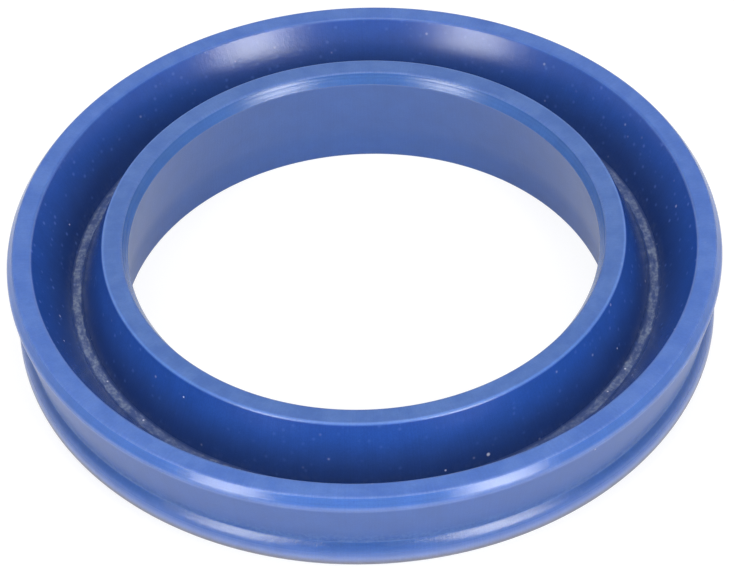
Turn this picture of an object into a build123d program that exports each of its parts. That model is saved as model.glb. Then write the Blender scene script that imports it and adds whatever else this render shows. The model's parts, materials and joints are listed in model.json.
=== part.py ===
from build123d import *

import os

# U-cup seal for a 50 x 70 x 12 mm seat: one moulded polyurethane ring.
# The whole ring is one section turned about Z. Sizes are millimetres.
# The heel face lies on Z = 0 with the origin at its centre, and the two lips point up.

# Heel: the solid foot that sits in the seat
heel_diameter = 70.0
heel_bore = 49.5
heel_bevel = 2.6  # width and height of the bevel under the outer land
heel_land = 1.65  # height of the outer cylindrical land, up to the shoulder's corner
bore_land = 3.2  # height of the cylindrical land in the bore
shoulder_step = 0.75  # how far the land stands out past the neck
shoulder_rise = 0.75  # height of the sloped shoulder between land and neck

# Outer lip: flared outwards, with its sealing edge trimmed
outer_lip_diameter = 71.2  # over the sealing edge, free
outer_lip_top = 11.9
outer_lip_face = 1.8  # width of the flat top face
outer_trim_width = 0.72
outer_trim_drop = 1.1

# Inner lip: flared inwards, with its sealing edge trimmed
inner_lip_bore = 46.8  # across the sealing edge, free
inner_lip_top = 12.3
inner_lip_face = 1.9
inner_trim_width = 0.66
inner_trim_drop = 1.2

# Groove between the lips
groove_depth = 5.7  # below the top of the outer lip
groove_floor = 1.0  # width of the floor before its corners are rounded
groove_diameter = 57.9  # through the middle of the floor

# Rounded corners
sharp = 0  # the lips' edges and the edges of the heel face
shoulder_round = 1.7
neck_round = 0.3
bore_blend = 10.0  # bore land to the tapered wall above it
floor_round = 0.35


def outer_corners():
    """Corners from the heel face up the outside to the groove: radius, height, rounding."""
    heel_radius = heel_diameter / 2
    lip_radius = outer_lip_diameter / 2
    face_radius = lip_radius - outer_trim_width
    shoulder_height = heel_bevel + heel_land
    return [
        (heel_radius - heel_bevel, 0, sharp),
        (heel_radius, heel_bevel, sharp),
        (heel_radius, shoulder_height, shoulder_round),
        (heel_radius - shoulder_step, shoulder_height + shoulder_rise, neck_round),
        (lip_radius, outer_lip_top - outer_trim_drop, sharp),
        (face_radius, outer_lip_top, sharp),
        (face_radius - outer_lip_face, outer_lip_top, sharp),
    ]


def groove_corners():
    """The two corners of the groove's floor, outer one first."""
    floor_height = outer_lip_top - groove_depth
    middle = groove_diameter / 2
    return [
        (middle + groove_floor / 2, floor_height, floor_round),
        (middle - groove_floor / 2, floor_height, floor_round),
    ]


def inner_corners():
    """Corners from the groove over the inner lip and down the bore to the heel face."""
    lip_radius = inner_lip_bore / 2
    face_radius = lip_radius + inner_trim_width
    bore_radius = heel_bore / 2
    return [
        (face_radius + inner_lip_face, inner_lip_top, sharp),
        (face_radius, inner_lip_top, sharp),
        (lip_radius, inner_lip_top - inner_trim_drop, sharp),
        (bore_radius, bore_land, bore_blend),
        (bore_radius, 0, sharp),
    ]


def section():
    """The ring's closed section in the XZ plane, X being the radius."""
    corners = outer_corners() + groove_corners() + inner_corners()
    points = [(radius, height) for radius, height, rounding in corners]
    roundings = [rounding for radius, height, rounding in corners]
    with BuildSketch(Plane.XZ) as sketch:
        with BuildLine():
            FilletPolyline(*points, radius=roundings, close=True)
        make_face()
    return sketch.sketch


def seal_ring():
    return revolve(section(), axis=Axis.Z)


os.makedirs("parts", exist_ok=True)
ring = seal_ring()
ring.label = "seal_ring"
export_step(ring, "parts/seal_ring.step")
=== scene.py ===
import json
import math

import bpy
import numpy as np
from mathutils import Matrix, Vector


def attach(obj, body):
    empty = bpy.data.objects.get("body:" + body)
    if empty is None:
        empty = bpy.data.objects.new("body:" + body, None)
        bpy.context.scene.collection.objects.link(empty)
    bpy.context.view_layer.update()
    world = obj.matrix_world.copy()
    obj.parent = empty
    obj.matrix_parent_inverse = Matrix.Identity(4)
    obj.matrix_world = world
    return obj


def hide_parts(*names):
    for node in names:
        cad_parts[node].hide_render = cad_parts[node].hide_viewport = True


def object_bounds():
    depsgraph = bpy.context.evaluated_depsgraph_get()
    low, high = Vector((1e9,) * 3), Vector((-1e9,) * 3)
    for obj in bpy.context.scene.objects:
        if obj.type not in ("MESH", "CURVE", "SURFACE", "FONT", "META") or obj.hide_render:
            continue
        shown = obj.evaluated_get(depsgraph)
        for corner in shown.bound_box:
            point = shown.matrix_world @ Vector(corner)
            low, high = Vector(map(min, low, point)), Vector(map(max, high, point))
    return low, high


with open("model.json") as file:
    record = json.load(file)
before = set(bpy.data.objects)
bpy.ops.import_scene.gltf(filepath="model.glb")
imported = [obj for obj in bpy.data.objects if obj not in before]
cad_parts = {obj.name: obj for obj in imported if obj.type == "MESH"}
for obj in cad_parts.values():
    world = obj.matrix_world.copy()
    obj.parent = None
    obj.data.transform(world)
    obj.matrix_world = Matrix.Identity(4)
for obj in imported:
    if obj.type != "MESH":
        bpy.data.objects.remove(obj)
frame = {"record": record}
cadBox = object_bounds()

mm = 0.001
print("frame loaded, box in mm:", [[round(v / mm, 2) for v in corner] for corner in cadBox])


# Helpers for node trees. The nodes stand in columns, in the order in which they are made

nodeLayout = {"rows": 16, "across": 220, "down": 320}


def feed(tree, socket, value):
    # links a socket into another, or writes a plain value
    if isinstance(value, bpy.types.NodeSocket):
        tree.links.new(value, socket)
    elif value is not None:
        socket.default_value = value


def addNode(tree, kind, inputs=None, **options):
    # inputs are named, or numbered where a node has several of one name
    column, row = divmod(len(tree.nodes), nodeLayout["rows"])
    node = tree.nodes.new(kind)
    node.location = (column * nodeLayout["across"], -row * nodeLayout["down"])
    for option, value in options.items():
        setattr(node, option, value)
    for name, value in (inputs or {}).items():
        feed(tree, node.inputs[name], value)
    return node


# Each of these adds one node and gives back the socket that is read from it

def maths(tree, operation, a, b, clamp=False):
    return addNode(tree, "ShaderNodeMath", {0: a, 1: b}, operation=operation, use_clamp=clamp).outputs[0]


def times(tree, a, b):
    return maths(tree, "MULTIPLY", a, b)


def plus(tree, a, b, clamp=False):
    return maths(tree, "ADD", a, b, clamp)


def larger(tree, a, b):
    return maths(tree, "MAXIMUM", a, b)


def vectorMaths(tree, operation, a, b=None, out="Vector"):
    return addNode(tree, "ShaderNodeVectorMath", {0: a, 1: b}, operation=operation).outputs[out]


def ramp(tree, value, low, high, toLow=0.0, toHigh=1.0):
    # a value that goes from low to high becomes toLow to toHigh, eased at both ends
    return addNode(tree, "ShaderNodeMapRange",
                   {"Value": value, "From Min": low, "From Max": high, "To Min": toLow, "To Max": toHigh},
                   clamp=True, interpolation_type="SMOOTHSTEP").outputs["Result"]


def mixValue(tree, amount, a, b):
    return addNode(tree, "ShaderNodeMix", {0: amount, 2: a, 3: b}, data_type="FLOAT").outputs[0]


def mixColour(tree, amount, a, b, blend="MIX"):
    return addNode(tree, "ShaderNodeMix", {0: amount, 6: a, 7: b},
                   data_type="RGBA", blend_type=blend).outputs[2]


def noise(tree, place, scale, detail, roughness):
    return addNode(tree, "ShaderNodeTexNoise", {"Vector": place, "Scale": scale, "Detail": detail,
                                                "Roughness": roughness}).outputs["Fac"]


def combine(tree, x=0.0, y=0.0, z=0.0):
    return addNode(tree, "ShaderNodeCombineXYZ", {"X": x, "Y": y, "Z": z}).outputs["Vector"]


def separate(tree, place, axis):
    return addNode(tree, "ShaderNodeSeparateXYZ", {"Vector": place}).outputs[axis]


def emptyTree(owner):
    # the node tree of a material or a world, with nothing in it yet
    owner.use_nodes = True
    owner.node_tree.nodes.clear()
    return owner.node_tree


def newGroup(name, inputs, outputs):
    # a shader node group with named sockets: inputs are (name, kind), and outputs are all plain values
    tree = bpy.data.node_groups.new(name, "ShaderNodeTree")
    for socket, kind in inputs:
        tree.interface.new_socket(socket, in_out="INPUT", socket_type=kind)
    for socket in outputs:
        tree.interface.new_socket(socket, in_out="OUTPUT", socket_type="NodeSocketFloat")
    source = addNode(tree, "NodeGroupInput")
    result = addNode(tree, "NodeGroupOutput")
    return tree, source.outputs, result.inputs


def placeGroup(tree, group, inputs):
    return addNode(tree, "ShaderNodeGroup", inputs, node_tree=group).outputs


def paint(red, green, blue):
    # a screen colour, 0 to 255, as the linear colour that a shader takes
    levels = np.array([red, green, blue]) / 255
    linear = np.where(levels < 0.04045, levels / 12.92, ((levels + 0.055) / 1.055) ** 2.4)
    return (*linear.tolist(), 1.0)


# The ring: one section turned about Z

mountSizes = {mount["name"]: mount["dims"] for mount in frame["record"]["mounts"]}
ringSettings = {  # mm
    # heel
    "heelRadius": mountSizes["heel_outside"]["r_mm"],
    "boreRadius": mountSizes["heel_bore"]["r_mm"],
    "heelBevel": 2.6,
    "heelLand": 1.65,
    "boreLand": 3.2,
    "shoulderStep": 0.75,
    "shoulderRise": 0.75,
    # outer lip
    "outerLipRadius": cadBox[1][0] / mm,
    "outerLipTop": 11.9,
    "outerLipFace": 1.8,
    "outerTrimWidth": 0.72,
    "outerTrimDrop": 1.1,
    # inner lip
    "innerLipRadius": 23.4,
    "innerLipTop": cadBox[1][2] / mm,
    "innerLipFace": 1.9,
    "innerTrimWidth": 0.66,
    "innerTrimDrop": 1.2,
    # groove
    "grooveDepth": 5.7,
    "grooveFloor": 1.0,
    "grooveRadius": 28.95,
    # roundings
    "footRound": 0.3,
    "bevelRound": 0.45,
    "shoulderRound": 1.7,
    "neckRound": 0.3,
    "sealRound": 0.9,        # outer sealing edge
    "innerSealRound": 0.25,
    "trimEdgeRound": 0.3,    # between a trim and the lip's face
    "rimRound": 0.45,        # between the outer lip's face and the groove
    "innerRimRound": 0.36,
    "floorRound": 0.35,
    "boreBlend": 10.0,
    "boreFootRound": 0.15,
    # mesh
    "aroundSteps": 480,
    "runStep": 0.55,         # longest step along a straight run
    "guard": 0.05,           # a point this close to each end of a run keeps flats flat
    "arcDegrees": 9,         # turn per step on a rounded corner
    "fewestArcSteps": 3,
}
surfaceMarks = ["bevel", "land", "shoulder", "outside", "outerTrim", "outerFace", "outerWall", "floor",
                "innerWall", "innerFace", "innerTrim", "bore"]


def ringCorners(s):
    # the section's corners, from the heel face up the outside, over both lips and down the bore:
    # radius, height, rounding, and the name of the surface that follows
    shoulder = s["heelBevel"] + s["heelLand"]
    outerFace = s["outerLipRadius"] - s["outerTrimWidth"]
    innerFace = s["innerLipRadius"] + s["innerTrimWidth"]
    floorHeight = s["outerLipTop"] - s["grooveDepth"]
    floorHalf = s["grooveFloor"] / 2
    return [
        (s["heelRadius"] - s["heelBevel"], 0, s["footRound"], "bevel"),
        (s["heelRadius"], s["heelBevel"], s["bevelRound"], "land"),
        (s["heelRadius"], shoulder, s["shoulderRound"], "shoulder"),
        (s["heelRadius"] - s["shoulderStep"], shoulder + s["shoulderRise"], s["neckRound"], "outside"),
        (s["outerLipRadius"], s["outerLipTop"] - s["outerTrimDrop"], s["sealRound"], "outerTrim"),
        (outerFace, s["outerLipTop"], s["trimEdgeRound"], "outerFace"),
        (outerFace - s["outerLipFace"], s["outerLipTop"], s["rimRound"], "outerWall"),
        (s["grooveRadius"] + floorHalf, floorHeight, s["floorRound"], "floor"),
        (s["grooveRadius"] - floorHalf, floorHeight, s["floorRound"], "innerWall"),
        (innerFace + s["innerLipFace"], s["innerLipTop"], s["innerRimRound"], "innerFace"),
        (innerFace, s["innerLipTop"], s["trimEdgeRound"], "innerTrim"),
        (s["innerLipRadius"], s["innerLipTop"] - s["innerTrimDrop"], s["innerSealRound"], "bore"),
        (s["boreRadius"], s["boreLand"], s["boreBlend"], "bore"),
        (s["boreRadius"], 0, s["boreFootRound"], "heelFace"),
    ]


def roundedSection(corners, s):
    # each corner becomes an arc tangent to its two runs: the arc starts rounding / tan(half angle)
    # from the corner, and its centre is rounding / sin(half angle) away on the bisector.
    # A mark is 1 on its own run, and fades over the arcs at that run's two ends
    places = np.array([corner[:2] for corner in corners], float)
    marks = np.array([[corner[3] == mark for mark in surfaceMarks] for corner in corners], float)
    arcs = []
    for i, corner in enumerate(corners):
        here, rounding = places[i], corner[2]
        back = places[i - 1] - here
        ahead = places[(i + 1) % len(corners)] - here
        back, ahead = back / np.linalg.norm(back), ahead / np.linalg.norm(ahead)
        half = math.acos(back @ ahead) / 2
        centre = here + (back + ahead) / np.linalg.norm(back + ahead) * rounding / math.sin(half)
        start = (here + back * rounding / math.tan(half) - centre) / rounding
        end = (here + ahead * rounding / math.tan(half) - centre) / rounding
        turn = math.pi - 2 * half
        steps = max(s["fewestArcSteps"], math.ceil(math.degrees(turn) / s["arcDegrees"]))
        t = np.linspace(0, 1, steps + 1)[:, None]
        arcs.append(centre + rounding * (np.sin((1 - t) * turn) * start + np.sin(t * turn) * end)
                    / math.sin(turn))
    points, carried = [], []
    for i, arc in enumerate(arcs):
        reach = arcs[(i + 1) % len(arcs)][0] - arc[-1]
        length, guard = np.linalg.norm(reach), s["guard"]
        pieces = max(1, math.ceil((length - 2 * guard) / s["runStep"]))
        along = np.concatenate([[guard], guard + (length - 2 * guard) * np.arange(1, pieces) / pieces,
                                [length - guard]]) / length
        blend = np.linspace(0, 1, len(arc))[:, None]
        points += [arc, arc[-1] + along[:, None] * reach]
        carried += [marks[i - 1] + blend * (marks[i] - marks[i - 1]),
                    np.repeat(marks[i:i + 1], len(along), 0)]
    return np.concatenate(points), np.concatenate(carried)


def turnedMesh(name, section, carried, steps):
    # point (i, j) of the grid is section point j turned about Z by i steps of the full turn
    turn = np.arange(steps) * 2 * math.pi / steps
    radius, height = section[:, 0] * mm, section[:, 1] * mm
    grid = np.stack([np.cos(turn)[:, None] * radius, np.sin(turn)[:, None] * radius,
                     np.repeat(height[None, :], steps, 0)], -1)
    count = len(section)
    i, j = np.meshgrid(np.arange(steps), np.arange(count), indexing="ij")
    iNext, jNext = (i + 1) % steps, (j + 1) % count
    faces = np.stack([i * count + j, iNext * count + j, iNext * count + jNext, i * count + jNext], -1)
    faces = faces.reshape(-1, 4)
    mesh = bpy.data.meshes.new(name)
    mesh.from_pydata(grid.reshape(-1, 3), [], faces)
    for k, mark in enumerate(surfaceMarks):
        layer = mesh.attributes.new(mark, "FLOAT", "POINT")
        layer.data.foreach_set("value", np.tile(carried[:, k], steps).astype(np.float32))
    mesh.polygons.foreach_set("use_smooth", np.ones(len(faces), bool))
    mesh.update()
    return mesh


def makeRing(s):
    # the closed section with its corners rounded, turned once round the axis
    section, carried = roundedSection(ringCorners(s), s)
    mesh = turnedMesh("cupSealRing", section, carried, s["aroundSteps"])
    ring = bpy.data.objects.new("cupSealRing", mesh)
    bpy.context.scene.collection.objects.link(ring)
    print("ring made:", len(section), "points round the section,", 2 * len(mesh.polygons), "triangles")
    return ring


# The finish: moulded blue urethane, glossy where the sealing edges are trimmed, dusty in the groove, with
# light and shade painted into its colours.
# "rest" is the whole ring, and each area named after it takes its own value instead

urethane = {
    # colour. The ring is one urethane; these paints are partly its own colour and partly painted light and
    # shade: the lip faces lighter as if lit from above, the outside, shoulder and bore darker as if in shade
    "paints": {
        "rest": paint(54, 89, 156),
        "outside": paint(41, 77, 142),
        "shoulder": paint(43, 79, 142),
        "outerTrim": paint(60, 98, 168),
        "innerTrim": paint(54, 93, 156),
        "outerFace": paint(58, 97, 172),
        "innerFace": paint(56, 93, 160),
        "bore": paint(43, 81, 146),
    },
    "grooveShadeDeep": paint(36, 64, 125),   # painted shade in the groove, by its floor
    "grooveShadeRim": paint(31, 69, 144),    # and beside the lips
    "grooveHeights": (7.5, 11.6),       # mm, from the one to the other
    "filmPaint": paint(112, 138, 172),
    "film": 0.16,                       # cloudy film on the lips' faces
    "neckPaint": paint(80, 108, 160),
    "neck": 0.6,                        # painted light in grainy spots, lifting the shade in the neck over the shoulder
    "neckHeights": (6.6, 5.4),          # mm, none of it and all of it
    # whitish paint: painted highlights on the edges, painted reflection of the floor on the land, and a
    # lighter bevel
    "sheenPaint": paint(190, 192, 205),
    "trimEdgeHighlight": 0.06,               # painted highlight: a whitish line where a trim meets the lip's face
    "sealEdgeHighlight": 0.10,               # and a painted highlight along the sealing edges
    "landFloorReflection": (0.03, 0.19),           # painted reflection of the floor on the heel's land, growing downwards
    "landHeights": (4.1, 3.1),          # mm, between these heights
    "bevelHaze": 0.08,
    "rimHighlightPaint": paint(104, 150, 222),
    "rimHighlights": {"outerRim": 0.09, "innerRim": 0.30},  # painted highlight: a light line where a lip's face meets the groove
    "heelEdgeShadePaint": paint(98, 95, 94),
    "heelEdgeShade": 0.80,                      # painted shade: a darker grey line along the heel's lower edge, where it meets the floor
    "heelEdgeShadeHeights": (3.45, 2.7, 2.1),   # mm, where it starts, is strongest and ends
    "tones": {"Clouds": 0.05, "Grain": 0.05, "Streaks": 0.03},  # each makes it lighter and darker
    "knifeShade": 0.12,                 # between the knife's lines on the trims
    # gloss
    "roughness": {
        "rest": 0.36,
        "shoulder": 0.13,
        "outside": 0.40,
        "outerTrim": 0.13,
        "innerTrim": 0.19,
        "outerFace": 0.42,
        "innerFace": 0.42,
        "outerWall": 0.22,
        "innerWall": 0.22,
        "bore": 0.29,
        "trimEdge": 0.50,
    },
    "specularLevel": 0.65,
    "ior": 1.5,
    "scatterWeight": 0.25,
    "scatterRadius": (0.5, 0.9, 2.6),   # how far red, green and blue wander inside, mm
    # relief: how much of each pattern
    "relief": {
        "Grain": {"rest": 0.40, "shoulder": 1.1},
        "Pebbles": {"rest": 0.0, "outerWall": 0.4, "shoulder": 0.35},
        "Streaks": {"rest": 0.25, "shoulder": 0.6, "walls": 0.2},
        "Lines": {"rest": 0.0, "outerTrim": 1.1, "innerTrim": 2.4},
    },
    "grainRelief": 4.0,                 # of the bright grains of dust
    "reliefStrength": 0.35,
    "reliefHeight": 0.02,               # mm
}

mouldGrain = {
    # scale, detail, roughness, and how far below and above 0.5 the noise becomes 0 and 1
    "patterns": {
        "Clouds": (0.45, 5.0, 0.6, 0.20),     # these three per mm
        "Pebbles": (2.6, 1.0, 0.6, 0.20),
        "Grain": (6.0, 3.0, 0.6, 0.20),
        "Streaks": (190.0, 2.0, 0.6, 0.20),   # per radian round the ring
        "Fibres": (1.7, 4.0, 0.7, 0.15),      # per mm of radius
        "Lines": (4.0, 3.0, 0.6, 0.15),       # per mm of radius or height
    },
    "fibreTurn": 12,  # so many mm of radius change the fibres as much as a radian round the ring
}

grooveDust = {
    "paint": paint(150, 162, 184),
    "speckPaint": paint(205, 208, 224),
    "faintPaint": paint(96, 126, 200),
    "roughness": 0.75,
    "banks": [(188, 44), (352, 40)],    # more lies here: degrees round the ring, half width
    "offBanks": 0.50,                   # and this share elsewhere
    "onFloor": 0.72,
    "edgeShift": (-0.35, 0.25),         # how far the fibres draw the film's edge in and push it out
    "edgeSpan": (0.40, 1.0),            # none of the film and all of it, on the floor's shifted mark
    "betweenFibres": 0.25,
    "betweenPebbles": 0.35,
    "onFoot": 0.12,                     # on the feet of the walls
    "footHeights": (6.3, 7.6),          # mm, all of it and none of it
    "footGaps": 0.2,
    # loose grains: cells per mm, mm from a grain's middle to its edge, strength
    "faintGrains": (1.10, 0.28, 0.60),
    "brightGrains": (0.50, 0.22, 0.60),
    "grainShare": {"rest": 0.1, "groove": 0.6, "outerWall": 1.0},
    "grainsUnseen": 0.2,                # share of the grains that don't show
    # the few grains that are seen one by one: surface, degrees round the ring from +X, how far along
    # the surface's run, mm across
    "largeGrains": [
        ("innerWall", 293, 0.16, 0.46),
        ("innerWall", 284, 0.11, 0.26),
        ("innerWall", 331, 0.31, 0.22),
        ("innerWall", 228, 0.72, 0.22),
        ("outerWall", 199, 0.47, 0.24),
        ("outerWall", 166, 0.67, 0.22),
        ("floor", 330, 0.65, 0.28),
        ("floor", 323, 0.65, 0.24),
        ("floor", 220, 0.70, 0.28),
        ("floor", 207, 0.70, 0.25),
        ("outside", 306, 0.93, 0.26),
    ],
    "largeGrainCore": 1 / 3,            # a large grain is solid this far out
}


def grainGroup(s):
    # noises over a place in mm. Clouds, pebbles and grain take the place as it is. Streaks take the
    # heading from the axis alone, and so run across the section. Fibres take heading and radius, which
    # counts for more, and so run round the ring. Lines take radius and height, and run all round
    tree, given, out = newGroup("mouldGrain", [("Place", "NodeSocketVector")], s["patterns"])
    place = given["Place"]
    flat = vectorMaths(tree, "MULTIPLY", place, (1, 1, 0))
    heading = vectorMaths(tree, "NORMALIZE", flat)
    radius = vectorMaths(tree, "LENGTH", flat, out="Value")
    turned = vectorMaths(tree, "MULTIPLY", heading, (s["fibreTurn"], s["fibreTurn"], 0))
    taken = {
        "Clouds": place,
        "Pebbles": place,
        "Grain": place,
        "Streaks": heading,
        "Fibres": vectorMaths(tree, "ADD", turned, combine(tree, z=radius)),
        "Lines": combine(tree, x=radius, y=separate(tree, place, "Z")),
    }
    for name, (scale, detail, roughness, spread) in s["patterns"].items():
        value = noise(tree, taken[name], scale, detail, roughness)
        feed(tree, out[name], ramp(tree, value, 0.5 - spread, 0.5 + spread))
    return tree


def speckGroup(unseen):
    # one grain of dust in each cell of a 3D cell pattern. It shows where the surface cuts it, and fades
    # from its middle to its edge. A share of the grains is unseen, and the others differ in strength
    tree, given, out = newGroup("dustSpecks", [("Place", "NodeSocketVector"),
                                               ("Cells per mm", "NodeSocketFloat"),
                                               ("Grain Size", "NodeSocketFloat")], ["Mask"])
    cells = addNode(tree, "ShaderNodeTexVoronoi", {"Vector": given["Place"], "Scale": given["Cells per mm"],
                                                   "Randomness": 1.0},
                    voronoi_dimensions="3D", feature="F1").outputs
    near = ramp(tree, cells["Distance"], times(tree, given["Cells per mm"], given["Grain Size"]), 0.0)
    pick = addNode(tree, "ShaderNodeSeparateColor", {"Color": cells["Color"]}).outputs["Red"]
    feed(tree, out["Mask"], times(tree, near, ramp(tree, pick, unseen, 1.0)))
    return tree


def largeGrainGroup(s, corners):
    # each grain is a ball about its place on a run of the section, and shows where the surface cuts it
    tree, given, out = newGroup("largeGrains", [("Place", "NodeSocketVector")], ["Mask"])
    names = [corner[3] for corner in corners]
    mask = 0.0
    for surface, degrees, share, size in s["largeGrains"]:
        run = names.index(surface)
        start, end = np.array(corners[run][:2]), np.array(corners[run + 1][:2])
        radius, height = start + share * (end - start)
        turn = math.radians(degrees)
        spot = (radius * math.cos(turn), radius * math.sin(turn), height)
        away = vectorMaths(tree, "DISTANCE", given["Place"], spot, out="Value")
        mask = larger(tree, mask, ramp(tree, away, size / 2, size / 2 * s["largeGrainCore"]))
    feed(tree, out["Mask"], mask)
    return tree


def ringAreas(tree):
    # a mask for each area of the ring: the surfaces, some of them together, and the edges
    area = {name: addNode(tree, "ShaderNodeAttribute", attribute_name=name).outputs["Fac"]
            for name in surfaceMarks}

    def edge(a, b):
        # two marks cross on the rounded corner between their runs, where each is a half
        return times(tree, times(tree, area[a], area[b]), 4.0)

    area["walls"] = plus(tree, area["outerWall"], area["innerWall"])
    area["groove"] = plus(tree, area["walls"], area["floor"], clamp=True)
    area["faces"] = plus(tree, area["outerFace"], area["innerFace"])
    area["trims"] = plus(tree, area["outerTrim"], area["innerTrim"])
    area["heel"] = plus(tree, area["land"], area["bevel"])
    area["trimEdge"] = edge("trims", "faces")
    area["outerRim"] = edge("outerWall", "outerFace")
    area["innerRim"] = edge("innerWall", "innerFace")
    area["sealEdge"] = plus(tree, edge("outside", "outerTrim"), edge("bore", "innerTrim"))
    return area


def byArea(tree, area, values, mix=mixValue):
    # the value of the rest, with each area's own value mixed in over it, in their order
    own = dict(values)
    result = own.pop("rest")
    for name, value in own.items():
        result = mix(tree, area[name], result, value)
    return result


def sumOfAreas(tree, area, shares):
    # each area's mask times its share, added up
    total = 0.0
    for name, share in shares.items():
        total = plus(tree, total, times(tree, area[name], share))
    return total


def dustMasks(tree, s, corners, place, height, area, grain):
    # the film: a fibrous layer with a ragged edge on the floor, and a thin one on the feet of the walls
    heading = vectorMaths(tree, "NORMALIZE", vectorMaths(tree, "MULTIPLY", place, (1, 1, 0)))
    bank = 0.0
    for degrees, halfWidth in s["banks"]:
        turn = math.radians(degrees)
        facing = vectorMaths(tree, "DOT_PRODUCT", heading, (math.cos(turn), math.sin(turn), 0), out="Value")
        bank = larger(tree, bank, ramp(tree, facing, math.cos(math.radians(halfWidth)), 1.0))
    thick = mixValue(tree, bank, s["offBanks"], 1.0)
    ragged = plus(tree, area["floor"], mixValue(tree, grain["Fibres"], *s["edgeShift"]))
    ragged = ramp(tree, ragged, *s["edgeSpan"])
    patches = times(tree, mixValue(tree, grain["Fibres"], s["betweenFibres"], 1.0),
                    mixValue(tree, grain["Pebbles"], s["betweenPebbles"], 1.0))
    onFloor = times(tree, times(tree, ragged, s["onFloor"]), patches)
    full, none = s["footHeights"]
    onFoot = times(tree, times(tree, ramp(tree, height, none, full), area["walls"]), s["onFoot"])
    gaps = mixValue(tree, times(tree, grain["Pebbles"], grain["Fibres"]), s["footGaps"], 1.0)
    film = times(tree, plus(tree, onFloor, times(tree, onFoot, gaps)), thick)

    # the loose grains: many faint ones, a few bright ones, and the large ones with the bright
    share = times(tree, byArea(tree, area, s["grainShare"]), thick)
    specks = speckGroup(s["grainsUnseen"])
    loose = []
    for perMm, reach, strength in (s["faintGrains"], s["brightGrains"]):
        mask = placeGroup(tree, specks, {"Place": place, "Cells per mm": perMm, "Grain Size": reach})["Mask"]
        loose.append(times(tree, times(tree, mask, share), strength))
    faint, bright = loose
    large = placeGroup(tree, largeGrainGroup(s, corners), {"Place": place})["Mask"]
    return {"film": film, "faint": faint, "bright": larger(tree, bright, large)}


def bodyColour(tree, s, height, area, grain):
    # the areas' own paints, partly painted light and shade, then the layers over them: painted shade in the
    # groove, the faces' film, painted light in the neck, painted highlights and floor reflection, painted
    # rim highlights and painted shade on the heel's edge; then the tone of the grain
    body = byArea(tree, area, s["paints"], mixColour)
    # painted shade in the groove, darker towards its floor
    grooveShade = mixColour(tree, ramp(tree, height, *s["grooveHeights"]), s["grooveShadeDeep"], s["grooveShadeRim"])
    film = times(tree, times(tree, area["faces"], grain["Clouds"]), s["film"])
    # painted light lifting the shade in the neck, in grainy spots
    neck = times(tree, area["outside"], ramp(tree, height, *s["neckHeights"]))
    neck = times(tree, neck, times(tree, grain["Pebbles"], s["neck"]))
    # painted highlights on the trim and sealing edges, painted reflection of the floor on the land, and a
    # lighter bevel
    sheen = sumOfAreas(tree, area, {
        "trimEdge": times(tree, grain["Streaks"], s["trimEdgeHighlight"]),
        "sealEdge": s["sealEdgeHighlight"],
        "land": ramp(tree, height, *s["landHeights"], *s["landFloorReflection"]),
        "bevel": s["bevelHaze"],
    })
    # painted shade along the heel's lower edge
    top, middle, bottom = s["heelEdgeShadeHeights"]
    heelEdgeShade = times(tree, ramp(tree, height, top, middle, 0.0, s["heelEdgeShade"]), ramp(tree, height, bottom, middle))
    heelEdgeShade = times(tree, heelEdgeShade, area["heel"])
    # painted highlights on the lips' rims
    rimHighlights = sumOfAreas(tree, area, s["rimHighlights"])
    for mask, colour in ((area["groove"], grooveShade), (film, s["filmPaint"]), (neck, s["neckPaint"]),
                         (sheen, s["sheenPaint"]), (rimHighlights, s["rimHighlightPaint"]), (heelEdgeShade, s["heelEdgeShadePaint"])):
        body = mixColour(tree, mask, body, colour)
    tone = 1.0
    for name, swing in s["tones"].items():
        tone = times(tree, tone, mixValue(tree, grain[name], 1 - swing, 1 + swing))
    unlined = times(tree, area["trims"], maths(tree, "SUBTRACT", 1.0, grain["Lines"]))
    tone = times(tree, tone, mixValue(tree, unlined, 1.0, 1 - s["knifeShade"]))
    return mixColour(tree, 1.0, body, tone, blend="MULTIPLY")


def urethaneMaterial(s, dustSettings, corners):
    material = bpy.data.materials.new("blueUrethane")
    tree = emptyTree(material)
    coordinates = addNode(tree, "ShaderNodeTexCoord").outputs["Object"]
    place = vectorMaths(tree, "DIVIDE", coordinates, (mm, mm, mm))
    height = separate(tree, place, "Z")
    area = ringAreas(tree)
    grain = placeGroup(tree, grainGroup(mouldGrain), {"Place": place})
    dust = dustMasks(tree, dustSettings, corners, place, height, area, grain)

    body = bodyColour(tree, s, height, area, grain)
    body = mixColour(tree, dust["film"], body, dustSettings["paint"])
    body = mixColour(tree, dust["faint"], body, dustSettings["faintPaint"])
    body = mixColour(tree, dust["bright"], body, dustSettings["speckPaint"])

    dusty = larger(tree, larger(tree, dust["film"], area["floor"]), dust["bright"])
    rough = mixValue(tree, dusty, byArea(tree, area, s["roughness"]), dustSettings["roughness"])

    relief = 0.0
    for name, shares in s["relief"].items():
        relief = plus(tree, relief, times(tree, grain[name], byArea(tree, area, shares)))
    relief = plus(tree, relief, times(tree, dust["bright"], s["grainRelief"]))
    bump = addNode(tree, "ShaderNodeBump", {"Strength": s["reliefStrength"],
                                            "Distance": s["reliefHeight"] * mm, "Height": relief})

    surface = addNode(tree, "ShaderNodeBsdfPrincipled", {
        "Base Color": body, "Roughness": rough, "Normal": bump.outputs["Normal"],
        "IOR": s["ior"], "Specular IOR Level": s["specularLevel"],
        "Subsurface Weight": s["scatterWeight"], "Subsurface Scale": 1.0,
        "Subsurface Radius": [radius * mm for radius in s["scatterRadius"]]})
    addNode(tree, "ShaderNodeOutputMaterial", {"Surface": surface.outputs["BSDF"]})
    return material


ring = makeRing(ringSettings)
ring.data.materials.append(urethaneMaterial(urethane, grooveDust, ringCorners(ringSettings)))
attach(ring, "root")
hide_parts("seal_ring")
print("ring finished: blue urethane with dust")


# The studio: a white floor and room, two tall softboxes in front, a weak one above, and the camera

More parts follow.
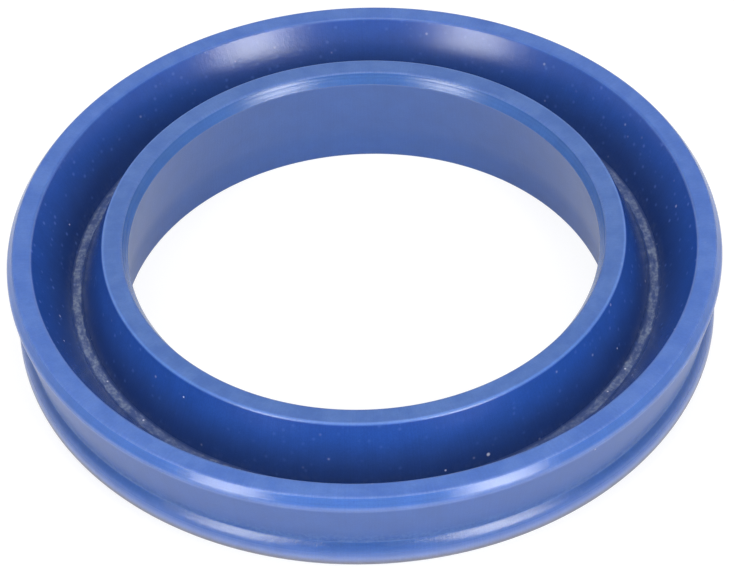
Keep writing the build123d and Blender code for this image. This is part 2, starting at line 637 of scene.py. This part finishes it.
studio = {
    "floorSide": 3.0,            # m
    "floorGap": 0.02,            # mm under the ring
    "floorBounce": 0.8,          # what the floor sends back to the ring
    "floorGlow": 0.80,           # what is seen of the floor with no light on it
    "floorLit": 0.26,            # what the light on it adds
    "floorSeen": 0.3,            # floorLit holds where a ray sees more than this of it, else floorBounce
    "floorInGloss": (0.98, 0.45),  # how much of that the ring's gloss shows, near it and far away
    "floorPool": (0.06, 0.20),   # from here to here, m from the axis
    "floorInBore": 0.70,         # and beside the bore, in its shade
    "boreShade": (0.014, 0.0247),  # from here to here, m from the axis
    "roomLight": (0.25, 0.53),   # the room's light from the front, and from behind
    "roomTurn": (-0.8, 0.8),     # how far back a heading points, for the one and the other
    "glossLight": (0.45, 1.0),   # how bright the room is in the ring's gloss, in front and behind
    "glossTurn": (-0.1, 0.7),
    "glossTop": 0.05,            # share of that straight above
    "glossRise": (0.60, 0.78),   # how far up a heading points, for all of it and for that share
    # azimuth from the front towards +X, elevation, distance m, width m, height m, level
    "softboxes": {
        "softboxRight": (34.8, 28, 0.60, 0.20, 0.46, 9.9),
        "softboxLeft": (-40.4, 28, 0.60, 0.19, 0.46, 8.4),
        "softboxAbove": (0, 88, 0.70, 0.60, 0.60, 1.9),
    },
}


def makeFloor(s):
    # a matt square under the ring; rays from the camera, a mirror or glass see it almost white
    half, height = s["floorSide"] / 2, cadBox[0][2] - s["floorGap"] * mm
    mesh = bpy.data.meshes.new("paleFloor")
    mesh.from_pydata([(-half, -half, height), (half, -half, height), (half, half, height),
                      (-half, half, height)], [], [(0, 1, 2, 3)])
    floor = bpy.data.objects.new("paleFloor", mesh)
    bpy.context.scene.collection.objects.link(floor)
    material = bpy.data.materials.new("paleFloor")
    tree = emptyTree(material)
    away = vectorMaths(tree, "LENGTH", addNode(tree, "ShaderNodeTexCoord").outputs["Object"], out="Value")
    middle, wall = s["boreShade"]
    shaded = mixValue(tree, maths(tree, "LESS_THAN", away, wall), 1.0,
                      ramp(tree, away, middle, wall, 1.0, s["floorInBore"]))
    share = times(tree, ramp(tree, away, *s["floorPool"], *s["floorInGloss"]), shaded)
    path = addNode(tree, "ShaderNodeLightPath").outputs
    seen = plus(tree, path["Is Camera Ray"], times(tree, path["Is Glossy Ray"], share))
    seen = plus(tree, seen, path["Is Transmission Ray"], clamp=True)
    matt = addNode(tree, "ShaderNodeBsdfDiffuse", {
        "Color": mixValue(tree, maths(tree, "GREATER_THAN", seen, s["floorSeen"]),
                          s["floorBounce"], s["floorLit"])})
    glow = addNode(tree, "ShaderNodeEmission", {"Strength": times(tree, seen, s["floorGlow"])})
    both = addNode(tree, "ShaderNodeAddShader", {0: matt.outputs[0], 1: glow.outputs[0]})
    addNode(tree, "ShaderNodeOutputMaterial", {"Surface": both.outputs[0]})
    mesh.materials.append(material)


def makeWorld(s):
    # white to the camera and through glass; dimmer in gloss and as light, and dimmest in front
    world = bpy.data.worlds.new("studio")
    bpy.context.scene.world = world
    tree = emptyTree(world)
    heading = addNode(tree, "ShaderNodeTexCoord").outputs["Generated"]
    towardsBack, upwards = separate(tree, heading, "Y"), separate(tree, heading, "Z")
    room = ramp(tree, towardsBack, *s["roomTurn"], *s["roomLight"])
    gloss = times(tree, ramp(tree, towardsBack, *s["glossTurn"], *s["glossLight"]),
                  ramp(tree, upwards, *s["glossRise"], 1.0, s["glossTop"]))
    path = addNode(tree, "ShaderNodeLightPath").outputs
    seen = plus(tree, path["Is Camera Ray"], path["Is Transmission Ray"])
    level = mixValue(tree, seen, mixValue(tree, path["Is Glossy Ray"], room, gloss), 1.0)
    backdrop = addNode(tree, "ShaderNodeBackground", {"Color": (1, 1, 1, 1), "Strength": level})
    addNode(tree, "ShaderNodeOutputWorld", {"Surface": backdrop.outputs[0]})


def makeSoftbox(name, azimuth, elevation, distance, width, height, level):
    # a lamp's power is its level times pi times its area, so level 1 looks as bright as white paper
    a, e = math.radians(azimuth), math.radians(elevation)
    heading = Vector((math.sin(a) * math.cos(e), -math.cos(a) * math.cos(e), math.sin(e)))
    data = bpy.data.lights.new(name, "AREA")
    data.shape, data.size, data.size_y = "RECTANGLE", width, height
    data.energy = level * math.pi * width * height
    lamp = bpy.data.objects.new(name, data)
    bpy.context.scene.collection.objects.link(lamp)
    lamp.location = heading * distance
    lamp.rotation_euler = heading.to_track_quat("Z", "Y").to_euler()


cameraSettings = {
    "distance": 0.356,             # m, to the centre of the outer lip's face
    "elevation": 43.92,
    "roll": 2.49,
    "lens": 175.69,                # mm
    "sensor": 36,                  # mm
    "clip": (0.01, 20),            # m
    "aim": (-0.001143, 0.014664),  # where that centre stands, right and up of the middle, per unit of depth
}


def makeCamera(s):
    # the camera looks at the centre from the front, turns a little so that the centre stands where
    # aim says, and rolls about its own axis
    e, roll = math.radians(s["elevation"]), math.radians(s["roll"])
    away = Vector((0, -math.cos(e), math.sin(e)))
    right, up = Vector((1, 0, 0)), Vector((0, math.sin(e), math.cos(e)))
    right, up = (right * math.cos(roll) + right.cross(away) * math.sin(roll),
                 up * math.cos(roll) + up.cross(away) * math.sin(roll))
    forward = (-away - right * s["aim"][0] - up * s["aim"][1]).normalized()
    right = forward.cross(up).normalized()
    up = right.cross(forward)
    data = bpy.data.cameras.new("camera")
    data.lens, data.sensor_width, data.sensor_fit = s["lens"], s["sensor"], "HORIZONTAL"
    data.clip_start, data.clip_end = s["clip"]
    camera = bpy.data.objects.new("camera", data)
    bpy.context.scene.collection.objects.link(camera)
    place = away * s["distance"] + Vector((0, 0, ringSettings["outerLipTop"] * mm))
    turn = Matrix((right, up, -forward)).transposed().to_4x4()
    camera.matrix_world = Matrix.Translation(place) @ turn
    bpy.context.scene.camera = camera


makeFloor(studio)
makeWorld(studio)
for name, box in studio["softboxes"].items():
    makeSoftbox(name, *box)
makeCamera(cameraSettings)
bpy.context.scene.view_settings.view_transform = "Standard"
print("studio ready")

bpy.context.view_layer.update()
